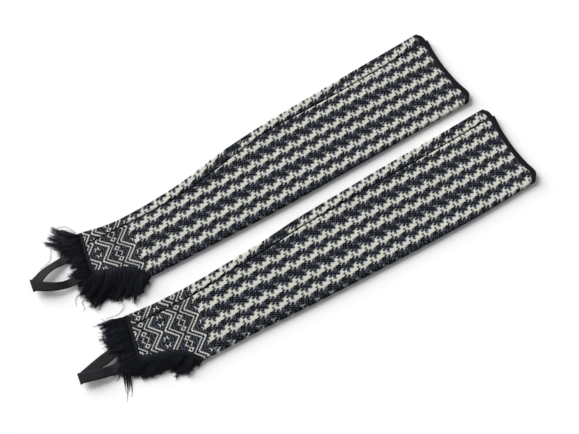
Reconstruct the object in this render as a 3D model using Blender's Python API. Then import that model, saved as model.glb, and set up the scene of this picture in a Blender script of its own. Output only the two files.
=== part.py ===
"""A pair of knitted over-the-knee leg warmers with stirrup straps, laid flat side by side.

Each leg warmer is one knitted panel wrapped to a tube with a single lengthwise seam near the
calf edge, a folded binding round the top hem, a smooth header band and a yarn fringe round the
shaped ankle edge, and an elastic stirrup strap sewn inside the ankle opening.

Frame: +X runs along the legs towards the top hems, +Y from the shin side to the calf side,
+Z up, with the surface that they lie on at Z = 0.
"""

import math

import bmesh
import bpy
from mathutils import Matrix, Vector

MM = 0.001

# --- driving sizes, in millimetres --------------------------------------------------------

LEG_LENGTH = 638.0       # from the front corner of the ankle edge to the top hem
KNIT_WALL = 2.4          # thickness of the double-faced knit
TRIM_WALL = 2.0          # thickness of the header band and of the fringe
SEAM_GAP = 0.3           # room left between two pieces that are sewn together
BODY_HEIGHT = 6.6        # two layers of knit lying on each other
HEM_HEIGHT = 8.0         # the same at the top hem, where the binding adds its folds
FRINGE_HEIGHT = 8.0      # the fringe is fuller at its tips
HEM_SWELL_START = 600.0  # along the leg, where the body starts to rise to the hem

BINDING_WIDTH = 8.5      # how far the folded binding reaches down over the knit
BINDING_WALL = 0.9       # thickness of the binding's cloth
BINDING_TURN = 1.4       # length of the rounded turn over the edge
TURN_STEPS = 4           # straight steps round that turn
BINDING_FLARE = 2.5      # the step where the binding's two ends meet at the seam
FLARE_SHARES = (1.0, 0.6)  # how the step fades over the first stops past the seam

BAND_WIDTH = 6.7         # visible width of the header band
FRINGE_ROWS = (0.0, 0.35, 0.7, 1.0)  # shares of the way from the header to the tips
FOLD_STEPS = 5           # straight steps round each soft fold

STRAP_THICKNESS = 1.2
CREASE_ROW = 5           # the first row of a strap's table that is over the crease
CREASE_STEPS = 6         # straight steps round the turn of the strap

# The ankle edge: fraction of the flat width from the calf fold, and distance along the leg.
# The calf half is nearly square, and the front of it is cut back to clear the instep.
ANKLE_CUT = (
    # fraction, along
    (0.00, 10.0),
    (0.20, 6.0),
    (0.40, 2.5),
    (0.56, 0.0),
    (0.60, 4.0),
    (0.63, 14.0),
    (0.66, 27.0),
    (0.71, 40.0),
    (0.80, 52.0),
    (0.90, 61.0),
    (1.00, 66.0),
)
DRAW_FADE = (0.56, 0.85)  # fractions between which a drawn-out calf half goes back to the cut

# The top hem: it bows in a little, and falls back round its two folds.
HEM_SHAPE = (
    # fraction, along
    (0.00, -4.0),
    (0.03, 0.0),
    (0.07, 1.8),
    (0.18, 1.5),
    (0.45, -2.0),
    (0.66, -2.0),
    (0.80, -0.3),
    (0.91, 2.5),
    (0.96, 1.0),
    (1.00, -7.0),
)

# Where the mesh has lines along the leg: fractions of the flat width from the calf fold.
CALF_STOPS = (0.0, 0.03, 0.07)    # always between the calf fold and the seam
BACK_STOPS = (0.20,)              # only on the back layer, as the seam may lie here on the front
PANEL_STOPS = (0.30, 0.40, 0.50, 0.56, 0.60, 0.63, 0.66, 0.71, 0.80, 0.91, 0.96, 1.0)

# Where the mesh has rings round the leg.
ANKLE_BLENDS = (0.0, 0.35, 0.70)  # shares of the way from the ankle edge to the first full ring
FULL_RINGS = (
    80.0, 105.0, 130.0, 155.0, 180.0, 205.0, 230.0, 255.0, 280.0,
    310.0, 350.0, 400.0, 455.0, 510.0, 560.0, 600.0,
)

# Each leg's lay: how far its two edges lie from the line under its shin edge, and how far the
# seam lies in from the calf edge.
FAR_LAY = (
    # along, calf edge, shin edge, seam inset
    (0.0, 116.0, 0.0, 24.5),
    (50.0, 105.0, -1.0, 14.0),
    (100.0, 104.0, -2.5, 14.0),
    (150.0, 107.5, -3.2, 16.5),
    (190.0, 113.0, -4.2, 18.0),
    (240.0, 123.0, -5.0, 19.0),
    (270.0, 127.3, -5.3, 17.5),
    (330.0, 133.5, -4.8, 15.0),
    (480.0, 143.0, -2.5, 20.5),
    (638.0, 151.5, 0.5, 21.0),
)
NEAR_LAY = (
    # along, calf edge, shin edge, seam inset
    (0.0, 110.0, 0.0, 19.0),
    (50.0, 106.5, -1.2, 16.0),
    (110.0, 107.0, -1.8, 16.0),
    (160.0, 110.5, -2.2, 14.5),
    (225.0, 115.7, -4.5, 14.5),
    (290.0, 123.3, -5.8, 15.5),
    (340.0, 126.5, -6.5, 16.5),
    (430.0, 133.0, -7.0, 18.5),
    (530.0, 138.5, -5.8, 19.5),
    (638.0, 144.5, -0.5, 20.0),
)

# Where the fringe's tips lie, from the calf fold round to the shin fold.
FAR_FRINGE = (
    # fraction, along, across
    (0.00, -27.0, 137.0),
    (0.20, -34.0, 112.0),
    (0.40, -33.0, 82.0),
    (0.56, -36.0, 50.0),
    (0.66, -20.0, 6.0),
    (0.80, 12.0, -9.0),
    (1.00, 42.0, -12.0),
)
NEAR_FRINGE = (
    # fraction, along, across
    (0.00, -34.0, 115.0),
    (0.20, -35.0, 100.0),
    (0.40, -38.0, 78.0),
    (0.56, -43.0, 48.0),
    (0.66, -24.0, 23.0),
    (0.80, 12.0, 12.0),
    (1.00, 50.0, -3.0),
)

# The strap's two edges: in the ankle opening, at the fringe's tips, in mid air and at the
# crease, first for the limb below, and from the crease back for the limb that lies over it.
FAR_STRAP = (
    # edge 1: along, across, height; edge 2: along, across, height
    (4.0, 104.5, 2.9, 4.0, 89.5, 2.9),
    (-34.0, 93.6, 3.8, -34.0, 80.5, 4.2),
    (-46.0, 91.8, 5.0, -47.0, 79.6, 7.5),
    (-65.4, 88.5, 7.0, -63.0, 74.6, 9.5),
    (-84.3, 81.1, 8.0, -86.7, 62.4, 8.0),
    (-84.3, 81.1, 11.1, -86.7, 62.4, 11.1),
    (-62.5, 63.3, 11.0, -66.0, 50.4, 9.0),
    (-48.0, 56.6, 8.6, -50.0, 45.2, 6.6),
    (-38.0, 56.6, 4.8, -39.0, 43.4, 4.7),
    (-1.0, 57.0, 3.7, -1.0, 43.0, 3.7),
)
NEAR_STRAP = (
    # edge 1: along, across, height; edge 2: along, across, height
    (-2.5, 86.8, 2.9, -2.5, 71.8, 2.9),
    (-38.0, 77.5, 3.9, -38.0, 61.5, 3.9),
    (-48.0, 75.5, 4.6, -48.0, 58.8, 4.6),
    (-60.0, 72.8, 5.5, -60.0, 56.8, 5.5),
    (-90.0, 64.6, 7.0, -91.5, 48.7, 7.0),
    (-90.0, 64.6, 10.1, -91.5, 48.7, 10.1),
    (-60.0, 56.0, 8.6, -63.0, 41.8, 8.0),
    (-52.0, 55.3, 6.6, -54.0, 40.2, 6.4),
    (-45.0, 54.8, 4.9, -46.0, 39.0, 4.9),
    (-5.5, 57.7, 3.7, -5.5, 42.7, 3.7),
)

# Each leg's name, the place of its own zero, its turn in degrees, how far the soft calf half
# of its ankle edge is drawn out past the cut above, and its tables.
LEGS = (
    {
        "name": "far_leg",
        "place": (-279.83, -2.22),
        "turn": 1.07,
        "ankle_drawn_out": 0.0,
        "lay": FAR_LAY,
        "fringe": FAR_FRINGE,
        "strap": FAR_STRAP,
    },
    {
        "name": "near_leg",
        "place": (-274.33, -147.12),
        "turn": -0.82,
        "ankle_drawn_out": 4.5,
        "lay": NEAR_LAY,
        "fringe": NEAR_FRINGE,
        "strap": NEAR_STRAP,
    },
)


# --- numbers read from the tables ---------------------------------------------------------

def ease(t):
    """A soft start and a soft end between 0 and 1."""
    t = min(max(t, 0.0), 1.0)
    return t * t * (3.0 - 2.0 * t)


def smooth_lookup(rows, column, at):
    """A smooth curve through one column of a table whose first column is the position."""
    last = len(rows) - 1
    if at <= rows[0][0]:
        return rows[0][column]
    if at >= rows[last][0]:
        return rows[last][column]
    low = max(i for i in range(last) if rows[i][0] <= at)
    span = rows[low + 1][0] - rows[low][0]
    t = (at - rows[low][0]) / span

    def slope(i):
        before = rows[max(i - 1, 0)]
        after = rows[min(i + 1, last)]
        return (after[column] - before[column]) / (after[0] - before[0]) * span

    start = rows[low][column]
    end = rows[low + 1][column]
    lean = (t - 2.0 * t * t + t ** 3) * slope(low) + (t ** 3 - t * t) * slope(low + 1)
    return start + (end - start) * ease(t) + lean


def straight_lookup(rows, column, at):
    """The same with straight lines between the rows."""
    for before, after in zip(rows, rows[1:]):
        if at <= after[0]:
            t = (at - before[0]) / (after[0] - before[0])
            return before[column] + (after[column] - before[column]) * t
    return rows[-1][column]


# --- the flattened tube's surface ---------------------------------------------------------

def half_height(along):
    """Half the height of the laid leg, which rises a little to the top hem."""
    rise = ease((along - HEM_SWELL_START) / (LEG_LENGTH - BINDING_WIDTH - HEM_SWELL_START))
    return (BODY_HEIGHT + (HEM_HEIGHT - BODY_HEIGHT) * rise) / 2.0


def flat_width(leg, along):
    """Width of the flat part, between the middles of the two soft folds."""
    calf = smooth_lookup(leg["lay"], 1, along)
    shin = smooth_lookup(leg["lay"], 2, along)
    return calf - shin - 2.0 * half_height(along)


def seam_fraction(leg, along):
    """Where the seam lies, as a fraction of the flat width from the calf fold."""
    inset = smooth_lookup(leg["lay"], 3, along)
    return (inset - half_height(along)) / flat_width(leg, along)


def across_at(leg, along, fraction):
    calf = smooth_lookup(leg["lay"], 1, along)
    return calf - half_height(along) - fraction * flat_width(leg, along)


def hem_at(fraction):
    """How far the top hem stands out from its straight line, or falls back."""
    return smooth_lookup(HEM_SHAPE, 1, fraction)


def ring_stops(leg, along):
    """The stops of one ring, from the shin side of the seam round the leg to its calf side.

    Each is (fraction, bulge, level): where it lies on the flat width, how far it stands out
    round a fold, and 1 on the front layer down to -1 on the back layer.
    """
    seam = seam_fraction(leg, along)
    half_gap = SEAM_GAP / 2.0 / flat_width(leg, along)
    turns = [math.pi * k / FOLD_STEPS for k in range(1, FOLD_STEPS)]

    stops = [(f, 0.0, 1.0) for f in (seam + half_gap,) + PANEL_STOPS]
    stops += [(1.0, -math.sin(a), math.cos(a)) for a in turns]
    stops += [(f, 0.0, -1.0) for f in reversed(CALF_STOPS + BACK_STOPS + PANEL_STOPS)]
    stops += [(0.0, math.sin(a), -math.cos(a)) for a in turns]
    stops += [(f, 0.0, 1.0) for f in CALF_STOPS + (seam - half_gap,)]
    return stops


def body_point(leg, along, stop, depth):
    """A point of the tube at one place along it, one stop round it and one depth under it."""
    fraction, bulge, level = stop
    radius = half_height(along)
    across = across_at(leg, along, fraction) + bulge * (radius - depth)
    return Vector((along, across, radius + level * (radius - depth)))


# --- the ankle edge and what is sewn on below it ------------------------------------------

def cut_at(leg, fraction):
    """Where the ankle edge lies along the leg."""
    fade_start, fade_end = DRAW_FADE
    drawn = ease((fade_end - fraction) / (fade_end - fade_start))
    return straight_lookup(ANKLE_CUT, 1, fraction) - leg["ankle_drawn_out"] * drawn


def edge_point(leg, fraction):
    """The middle line of the ankle edge, seen from above."""
    along = cut_at(leg, fraction)
    return Vector((along, across_at(leg, along, fraction)))


def edge_outward(leg, fraction):
    """The direction out of the leg, square to the ankle edge, seen from above."""
    step = 0.02
    before = edge_point(leg, max(fraction - step, 0.0))
    after = edge_point(leg, min(fraction + step, 1.0))
    run = (after - before).normalized()
    return Vector((run.y, -run.x))


def trim_root(leg, fraction, reach):
    return edge_point(leg, fraction) + edge_outward(leg, fraction) * reach


def fringe_tip(leg, fraction):
    along = smooth_lookup(leg["fringe"], 1, fraction)
    across = smooth_lookup(leg["fringe"], 2, fraction)
    return Vector((along, across))


def trim_point(plan, stop, radius, depth):
    """A point of the band or the fringe over its place seen from above."""
    _, bulge, level = stop
    return Vector((plan.x, plan.y + bulge * (radius - depth), radius + level * (radius - depth)))


# --- wrapped pieces -----------------------------------------------------------------------

def place_matrix(leg):
    turn = Matrix.Rotation(math.radians(leg["turn"]), 4, "Z")
    move = Matrix.Translation((leg["place"][0] * MM, leg["place"][1] * MM, 0.0))
    return move @ turn


def add_object(leg, piece, bm, material):
    """Make one named object from a finished bmesh, in millimetres, and lay it in its place."""
    bmesh.ops.scale(bm, vec=(MM, MM, MM), verts=bm.verts)
    bmesh.ops.recalc_face_normals(bm, faces=bm.faces)
    name = leg["name"] + "_" + piece
    mesh = bpy.data.meshes.new(name)
    bm.to_mesh(mesh)
    bm.free()
    mesh.materials.append(material)
    mesh.shade_smooth()
    mesh.set_sharp_from_angle(angle=math.radians(40.0))
    obj = bpy.data.objects.new(name, mesh)
    obj.matrix_world = place_matrix(leg)
    bpy.context.scene.collection.objects.link(obj)
    return obj


def wall_mesh(outer, inner):
    """One closed wall between two grids of points with the same rows and columns."""
    bm = bmesh.new()
    rows = len(outer)
    columns = len(outer[0])
    out = [[bm.verts.new(p) for p in row] for row in outer]
    inn = [[bm.verts.new(p) for p in row] for row in inner]
    for i in range(rows - 1):
        for j in range(columns - 1):
            bm.faces.new((out[i][j], out[i][j + 1], out[i + 1][j + 1], out[i + 1][j]))
            bm.faces.new((inn[i][j], inn[i + 1][j], inn[i + 1][j + 1], inn[i][j + 1]))
    for j in range(columns - 1):
        bm.faces.new((out[0][j], inn[0][j], inn[0][j + 1], out[0][j + 1]))
        bm.faces.new((out[-1][j], out[-1][j + 1], inn[-1][j + 1], inn[-1][j]))
    for i in range(rows - 1):
        bm.faces.new((out[i][0], out[i + 1][0], inn[i + 1][0], inn[i][0]))
        bm.faces.new((out[i][-1], inn[i][-1], inn[i + 1][-1], out[i + 1][-1]))
    return bm


def knit_tube(leg, material):
    """The knitted panel, wrapped so that its two long edges meet at the seam."""
    shoulder = LEG_LENGTH - BINDING_WIDTH - SEAM_GAP
    knit_end = LEG_LENGTH - BINDING_WALL - 2.0 * SEAM_GAP
    rebate = BINDING_WALL + SEAM_GAP

    def ring(depth, along_of):
        return [
            body_point(leg, along_of(stop), stop, depth)
            for stop in ring_stops(leg, along_of((0.0, 0.0, 1.0)))
        ]

    def ankle_along(share):
        return lambda stop: cut_at(leg, stop[0]) * (1.0 - share) + FULL_RINGS[0] * share

    def hem_along(along):
        return lambda stop: along + hem_at(stop[0])

    alongs = [ankle_along(share) for share in ANKLE_BLENDS]
    alongs += [lambda stop, along=along: along for along in FULL_RINGS]
    alongs += [hem_along(shoulder), hem_along(shoulder), hem_along(knit_end)]
    depths = [0.0] * (len(alongs) - 2) + [rebate, rebate]
    outer = [ring(depth, along_of) for depth, along_of in zip(depths, alongs)]
    inner = [ring(KNIT_WALL, along_of) for along_of in alongs]
    return add_object(leg, "knit_tube", wall_mesh(outer, inner), material)


def top_binding(leg, material):
    """A strip of cloth folded over the hem, with a small step where its ends meet."""
    sides = BINDING_WALL + KNIT_WALL + SEAM_GAP

    def profile(wall):
        """From one edge round the turn to the other, as (offset from the hem, depth)."""
        half = sides / 2.0 - wall
        turns = [math.pi * k / TURN_STEPS for k in range(TURN_STEPS + 1)]
        bend = [
            ((BINDING_TURN - wall) * math.sin(a) - BINDING_TURN, wall + half * (1.0 - math.cos(a)))
            for a in turns
        ]
        return [(-BINDING_WIDTH, wall)] + bend + [(-BINDING_WIDTH, sides - wall)]

    stops = ring_stops(leg, LEG_LENGTH)
    flares = [BINDING_FLARE * share for share in FLARE_SHARES]
    flares += [0.0] * (len(stops) - len(flares))

    def row(offset, depth):
        points = []
        for stop, flare in zip(stops, flares):
            along = LEG_LENGTH + offset + hem_at(stop[0])
            point = body_point(leg, along, stop, depth)
            point.x += flare * (1.0 + offset / BINDING_WIDTH)
            points.append(point)
        return points

    outer = [row(*pair) for pair in profile(0.0)]
    inner = [row(*pair) for pair in profile(BINDING_WALL)]
    return add_object(leg, "top_binding", wall_mesh(outer, inner), material)


def ankle_band(leg, material):
    """The smooth header of the fringe trim, edge to edge with the knit."""
    radius = BODY_HEIGHT / 2.0
    stops = ring_stops(leg, cut_at(leg, 0.0))

    def row(reach, depth):
        return [trim_point(trim_root(leg, stop[0], reach), stop, radius, depth) for stop in stops]

    reaches = (SEAM_GAP, BAND_WIDTH)
    outer = [row(reach, 0.0) for reach in reaches]
    inner = [row(reach, TRIM_WALL) for reach in reaches]
    return add_object(leg, "ankle_band", wall_mesh(outer, inner), material)


def fringe(leg, material):
    """The reach of the yarns that hang from the header, front and back layer in one skirt."""
    stops = ring_stops(leg, cut_at(leg, 0.0))

    def row(share, depth):
        radius = (BODY_HEIGHT + (FRINGE_HEIGHT - BODY_HEIGHT) * share) / 2.0
        points = []
        for stop in stops:
            root = trim_root(leg, stop[0], BAND_WIDTH + SEAM_GAP)
            plan = root.lerp(fringe_tip(leg, stop[0]), share)
            points.append(trim_point(plan, stop, radius, depth))
        return points

    outer = [row(share, 0.0) for share in FRINGE_ROWS]
    inner = [row(share, TRIM_WALL) for share in FRINGE_ROWS]
    return add_object(leg, "fringe", wall_mesh(outer, inner), material)


# --- the stirrup strap --------------------------------------------------------------------

def strap_rungs(leg):
    """The strap's rungs, each as (edge point 1, edge point 2, direction out of its face)."""
    rows = leg["strap"]
    up = Vector((0.0, 0.0, 1.0))
    ends = [(Vector(row[:3]), Vector(row[3:])) for row in rows]
    below, above = ends[:CREASE_ROW], ends[CREASE_ROW:]
    rungs = []
    for (a1, a2), (b1, b2) in zip(below, below[1:]):
        rungs += [(a1.lerp(b1, t), a2.lerp(b2, t), -up) for t in (0.0, 0.5)]

    turn_radius = (above[0][0].z - below[-1][0].z) / 2.0
    for k in range(CREASE_STEPS + 1):
        angle = math.pi * k / CREASE_STEPS
        outward = Vector((-math.sin(angle), 0.0, -math.cos(angle)))
        lift = (outward + up) * turn_radius
        rungs.append((below[-1][0] + lift, below[-1][1] + lift, outward))

    for (a1, a2), (b1, b2) in zip(above, above[1:]):
        rungs += [(a1.lerp(b1, t), a2.lerp(b2, t), up) for t in (0.5, 1.0)]
    return rungs


def stirrup_strap(leg, material):
    """A flat elastic ribbon, folded over at its crease into the loop under the foot."""
    rungs = strap_rungs(leg)
    half = STRAP_THICKNESS / 2.0
    outer = [[a + n * half, b + n * half] for a, b, n in rungs]
    inner = [[a - n * half, b - n * half] for a, b, n in rungs]
    return add_object(leg, "stirrup_strap", wall_mesh(outer, inner), material)


# --- materials and the pair ---------------------------------------------------------------

def make_material(name, colour, roughness):
    material = bpy.data.materials.new(name)
    material.use_nodes = True
    shader = material.node_tree.nodes["Principled BSDF"]
    shader.inputs["Base Color"].default_value = (*colour, 1.0)
    shader.inputs["Roughness"].default_value = roughness
    shader.inputs["Metallic"].default_value = 0.0
    material.diffuse_color = (*colour, 1.0)
    return material


PIECES = (
    # piece, builder, colour, roughness
    ("knit", knit_tube, (0.26, 0.26, 0.25), 0.90),
    ("binding", top_binding, (0.016, 0.018, 0.024), 0.85),
    ("band", ankle_band, (0.020, 0.023, 0.032), 0.80),
    ("fringe", fringe, (0.010, 0.011, 0.015), 0.95),
    ("strap", stirrup_strap, (0.024, 0.027, 0.035), 0.70),
)


def build_pair():
    for obj in list(bpy.data.objects):
        bpy.data.objects.remove(obj)
    for leg in LEGS:
        for piece, builder, colour, roughness in PIECES:
            builder(leg, make_material(leg["name"] + "_" + piece, colour, roughness))


build_pair()
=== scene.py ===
# %% [markdown]
# # A pair of knitted leg warmers, laid flat on a pale floor
# Each leg warmer is one knitted panel, wrapped to a long flat tube with a single seam near the
# calf edge. A folded binding finishes the top hem. A smooth header tape with a thick wool fringe
# runs round the shaped ankle edge, and an elastic stirrup strap is sewn inside the opening.
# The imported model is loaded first. It fixes every size, and this script only adds the looks.

# %% Load the frame
import math

import bpy
import numpy as np
from mathutils import Matrix, Vector


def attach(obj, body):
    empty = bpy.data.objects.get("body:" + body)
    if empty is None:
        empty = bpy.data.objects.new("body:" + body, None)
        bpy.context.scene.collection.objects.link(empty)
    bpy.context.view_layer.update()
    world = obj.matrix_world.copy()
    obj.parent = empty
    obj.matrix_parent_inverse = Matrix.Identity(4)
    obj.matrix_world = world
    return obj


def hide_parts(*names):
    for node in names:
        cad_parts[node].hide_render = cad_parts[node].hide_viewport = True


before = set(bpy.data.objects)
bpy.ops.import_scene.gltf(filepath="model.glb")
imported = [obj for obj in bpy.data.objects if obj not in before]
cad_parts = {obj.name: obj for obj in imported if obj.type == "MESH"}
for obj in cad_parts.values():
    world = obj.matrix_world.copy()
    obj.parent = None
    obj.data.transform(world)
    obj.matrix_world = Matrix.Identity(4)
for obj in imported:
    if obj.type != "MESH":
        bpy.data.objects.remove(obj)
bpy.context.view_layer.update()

MM = 0.001
print("nodes in the frame:", len(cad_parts))

# %% [markdown]
# ## The sizes of the two legs
# Both legs lie the same way, with the calf edge and the seam on the far side. All sizes are in
# millimetres in each leg's own frame: along it from the ankle to the hem, and across it from the
# shin to the calf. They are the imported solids' sizes. A leg is soft, so its outline is a short
# table of places, with a smooth curve through each column.

# %% Driving sizes and the lay of the legs
LEG_LENGTH = 638.0
KNIT_WALL = 2.4
TRIM_WALL = 2.0
SEAM_GAP = 0.3
BODY_HEIGHT = 6.6
HEM_HEIGHT = 8.0
HEM_SWELL_START = 600.0
BINDING_WIDTH = 8.5
BINDING_WALL = 0.9
BAND_WIDTH = 6.7
FIRST_FULL_RING = 80.0

ANKLE_CUT = (
    # fraction of the width from the calf fold, along
    (0, 10),
    (0.2, 6),
    (0.4, 2.5),
    (0.56, 0),
    (0.6, 4),
    (0.63, 14),
    (0.66, 27),
    (0.71, 40),
    (0.8, 52),
    (0.9, 61),
    (1, 66),
)
DRAW_FADE = (0.56, 0.85)

HEM_SHAPE = (
    # fraction, along
    (0, -3),
    (0.03, 0.3),
    (0.07, 1.8),
    (0.18, 1.5),
    (0.45, -2),
    (0.66, -2),
    (0.8, -0.3),
    (0.91, 2.5),
    (0.96, 1),
    (1, -4.4),
)

FAR_LAY = (
    # along, calf edge, shin edge, seam inset
    (0, 116, 0, 24.5),
    (50, 105, -1, 14),
    (100, 104, -2.5, 14),
    (150, 107.5, -3.2, 16.5),
    (190, 113, -4.2, 18),
    (240, 123, -5, 19),
    (270, 127.3, -5.3, 17.5),
    (330, 133.5, -4.8, 15),
    (480, 143, -2.5, 20.5),
    (638, 151.5, 0.5, 21),
)
NEAR_LAY = (
    # along, calf edge, shin edge, seam inset
    (0, 110, 0, 19),
    (50, 106.5, -1.2, 16),
    (110, 107, -1.8, 16),
    (160, 110.5, -2.2, 14.5),
    (225, 115.7, -4.5, 14.5),
    (290, 123.3, -5.8, 15.5),
    (340, 126.5, -6.5, 16.5),
    (430, 133, -7, 18.5),
    (530, 138.5, -5.8, 19.5),
    (638, 144.5, -0.5, 20),
)
print("each leg is", LEG_LENGTH, "mm long, of two layers of", KNIT_WALL, "mm knit")

# %% [markdown]
# ## Where the pieces of one leg lie
# The pattern, the fringe's outline and the strap's route differ a little between the legs, because
# cloth never falls the same way twice. So each leg is a small dictionary of tables, and every
# function below takes a leg.

# %% Fringe outlines, strap routes and pattern lines
FAR_TIPS = (
    # fraction, along, across: the outline that the tufts reach
    (0, -25, 146),
    (0.05, -31, 135),
    (0.11, -35.5, 126),
    (0.2, -36, 112),
    (0.29, -29.5, 99),
    (0.38, -28.5, 84),
    (0.45, -27.5, 74),
    (0.5, -26, 64),
    (0.53, -33, 60),
    (0.56, -31.5, 49),
    (0.585, -33.5, 32),
    (0.6, -29.5, 26),
    (0.62, -31, 12),
    (0.645, -25, -1),
    (0.67, -12.5, 3),
    (0.7, -1.5, 1),
    (0.74, 6.5, -8),
    (0.78, 14, -10.5),
    (0.84, 22.5, -14),
    (0.89, 29, -21.5),
    (0.93, 35.5, -21),
    (0.97, 47, -12),
    (1, 58, -3),
)
NEAR_TIPS = (
    # fraction, along, across
    (0, -38.5, 119.5),
    (0.05, -36.5, 110),
    (0.17, -41, 98),
    (0.28, -44, 89),
    (0.38, -41, 79),
    (0.47, -36.5, 64),
    (0.54, -45, 47),
    (0.565, -46.5, 40),
    (0.585, -48, 33),
    (0.6, -39, 31),
    (0.62, -28.5, 29),
    (0.64, -22, 26),
    (0.665, -15, 21),
    (0.7, -6.5, 18),
    (0.74, 4, 15),
    (0.78, 12, 14),
    (0.83, 21, 11),
    (0.87, 26, 3),
    (0.91, 34, -4.5),
    (0.95, 43, -3),
    (1, 54, 0),
)

FAR_STRAP = (
    # edge 1: along, across, height; edge 2: along, across, height
    (4, 104.5, 2.9, 4, 89.5, 2.9),
    (-34, 93.6, 3.8, -34, 80.5, 4.2),
    (-46, 91.8, 5, -47, 79.6, 7.5),
    (-65.4, 88.5, 7, -63, 74.6, 9.5),
    (-84.3, 81.1, 8, -86.7, 62.4, 8),
    (-84.3, 81.1, 11.1, -86.7, 62.4, 11.1),
    (-62.5, 63.3, 11, -66, 50.4, 9),
    (-48, 56.6, 8.6, -50, 45.2, 6.6),
    (-38, 56.6, 4.8, -39, 43.4, 4.7),
    (-1, 57, 3.7, -1, 43, 3.7),
)
NEAR_STRAP = (
    # edge 1: along, across, height; edge 2: along, across, height
    (-2.5, 86.8, 2.9, -2.5, 71.8, 2.9),
    (-38, 77.5, 3.9, -38, 61.5, 3.9),
    (-48, 75.5, 4.6, -48, 58.8, 4.6),
    (-60, 72.8, 5.5, -60, 56.8, 5.5),
    (-90, 64.6, 7, -91.5, 48.7, 7),
    (-90, 64.6, 10.1, -91.5, 48.7, 10.1),
    (-60, 56, 8.6, -63, 41.8, 8),
    (-52, 55.3, 6.6, -54, 40.2, 6.4),
    (-45, 54.8, 4.9, -46, 39, 4.9),
    (-5.5, 57.7, 3.7, -5.5, 42.7, 3.7),
)

FAR_CHAINS = (
    # along, across: middle chain of the front; the chain between seam and calf edge
    (0, 61, 60),
    (100, 60.3, 67),
    (150, 60, 73),
    (195, 59.4, 82),
    (245, 58.7, 97),
    (283, 58.2, 113),
    (330, 57.5, 127),
    (400, 56.2, 131.5),
    (450, 55.3, 138),
    (500, 54.2, 146.5),
    (565, 52.5, 152),
    (600, 51.3, 159),
    (640, 50.5, 168),
)
NEAR_CHAINS = (
    # along, across: the same two chains
    (0, 70, 64),
    (100, 67.5, 72),
    (150, 66, 76),
    (190, 63.8, 83),
    (225, 62.2, 91),
    (275, 60, 107.5),
    (330, 58.2, 117),
    (400, 56.7, 123),
    (480, 54.5, 130),
    (540, 53, 139),
    (600, 52.4, 149),
    (640, 51, 155),
)

LEGS = (
    {
        "name": "far_leg",
        "place": (-279.83, -2.22),
        "turn": 1.07,
        "ankle_drawn_out": 0.0,
        "lay": FAR_LAY,
        "tips": FAR_TIPS,
        "strap": FAR_STRAP,
        "chains": FAR_CHAINS,
        "first_block": 189.4,
        "blocks_per_mm": (0.04313, 8.7e-6),
        "lean": (0.085, 10.5),
        "shift": (0.0, 0.0),
    },
    {
        "name": "near_leg",
        "place": (-274.33, -147.12),
        "turn": -0.82,
        "ankle_drawn_out": 4.5,
        "lay": NEAR_LAY,
        "tips": NEAR_TIPS,
        "strap": NEAR_STRAP,
        "chains": NEAR_CHAINS,
        "first_block": 208.1,
        "blocks_per_mm": (0.04285, 7.55e-6),
        "lean": (0.13, 12.0),
        "shift": (-2.0, -0.4),
    },
)
print("legs:", [leg["name"] for leg in LEGS])

# %% [markdown]
# ## Reading the tables
# A table holds only the places that were judged, so a smooth curve has to pass through
# them. NumPy reads thousands of places at once, which is why these helpers take whole arrays.

# %% Curves through the tables
def ease(t):
    """A soft start and a soft end between 0 and 1."""
    t = np.clip(t, 0.0, 1.0)
    return t * t * (3.0 - 2.0 * t)


def smooth(rows, column, at):
    """A smooth curve through one column of a table whose first column is the position."""
    places = np.array([row[0] for row in rows])
    values = np.array([row[column] for row in rows])
    numbers = np.arange(len(rows))
    before = np.maximum(numbers - 1, 0)
    after = np.minimum(numbers + 1, len(rows) - 1)
    slopes = (values[after] - values[before]) / (places[after] - places[before])
    at = np.clip(at, places[0], places[-1])
    low = np.clip(np.searchsorted(places, at, side="right") - 1, 0, len(rows) - 2)
    span = places[low + 1] - places[low]
    t = (at - places[low]) / span
    lean = (t - 2.0 * t ** 2 + t ** 3) * slopes[low] + (t ** 3 - t ** 2) * slopes[low + 1]
    return values[low] + (values[low + 1] - values[low]) * ease(t) + lean * span


def track(rows, columns, at):
    """Smooth curves through several columns of a table, side by side."""
    return np.stack([smooth(rows, column, at) for column in columns], axis=-1)


def step_lengths(points):
    """The lengths of the steps from each point of a line to the next."""
    return np.linalg.norm(np.diff(points, axis=0), axis=-1)


def walked_along(steps):
    """How far each point of a line is from its start, from the lengths of its steps."""
    return np.concatenate(([0.0], np.cumsum(steps)))


def body_radius(along):
    """Half the height of the laid leg, which rises a little to the top hem."""
    rise = ease((along - HEM_SWELL_START) / (LEG_LENGTH - BINDING_WIDTH - HEM_SWELL_START))
    return (BODY_HEIGHT + (HEM_HEIGHT - BODY_HEIGHT) * rise) / 2.0


def flat_width(leg, along):
    """Width of the flat part, between the middles of the two soft folds."""
    calf = smooth(leg["lay"], 1, along)
    shin = smooth(leg["lay"], 2, along)
    return calf - shin - 2.0 * body_radius(along)


def across_at(leg, along, fraction):
    """Where a fraction of the flat width from the calf fold lies across the leg."""
    calf = smooth(leg["lay"], 1, along)
    return calf - body_radius(along) - fraction * flat_width(leg, along)


def seam_fraction(leg, along):
    """Where the seam lies, as a fraction of the flat width from the calf fold."""
    inset = smooth(leg["lay"], 3, along)
    return (inset - body_radius(along)) / flat_width(leg, along)


def ankle_at(leg, fraction):
    """Where the ankle edge lies along the leg."""
    drawn = ease((DRAW_FADE[1] - fraction) / (DRAW_FADE[1] - DRAW_FADE[0]))
    return smooth(ANKLE_CUT, 1, fraction) - leg["ankle_drawn_out"] * drawn


for leg in LEGS:
    print(leg["name"], "is", round(float(flat_width(leg, 630.0)), 1), "mm wide at the top")

# %% [markdown]
# ## The camera and the light
# The camera looks steeply down and is turned a little, so that the legs run up to the right. Its
# long lens keeps them almost parallel. The light is wide, soft and low, from the upper left, so
# that the shadows are broad and have no edge. A sun lamp with a large angle does that with one
# number, and a dim white world fills the shadows.

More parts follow.
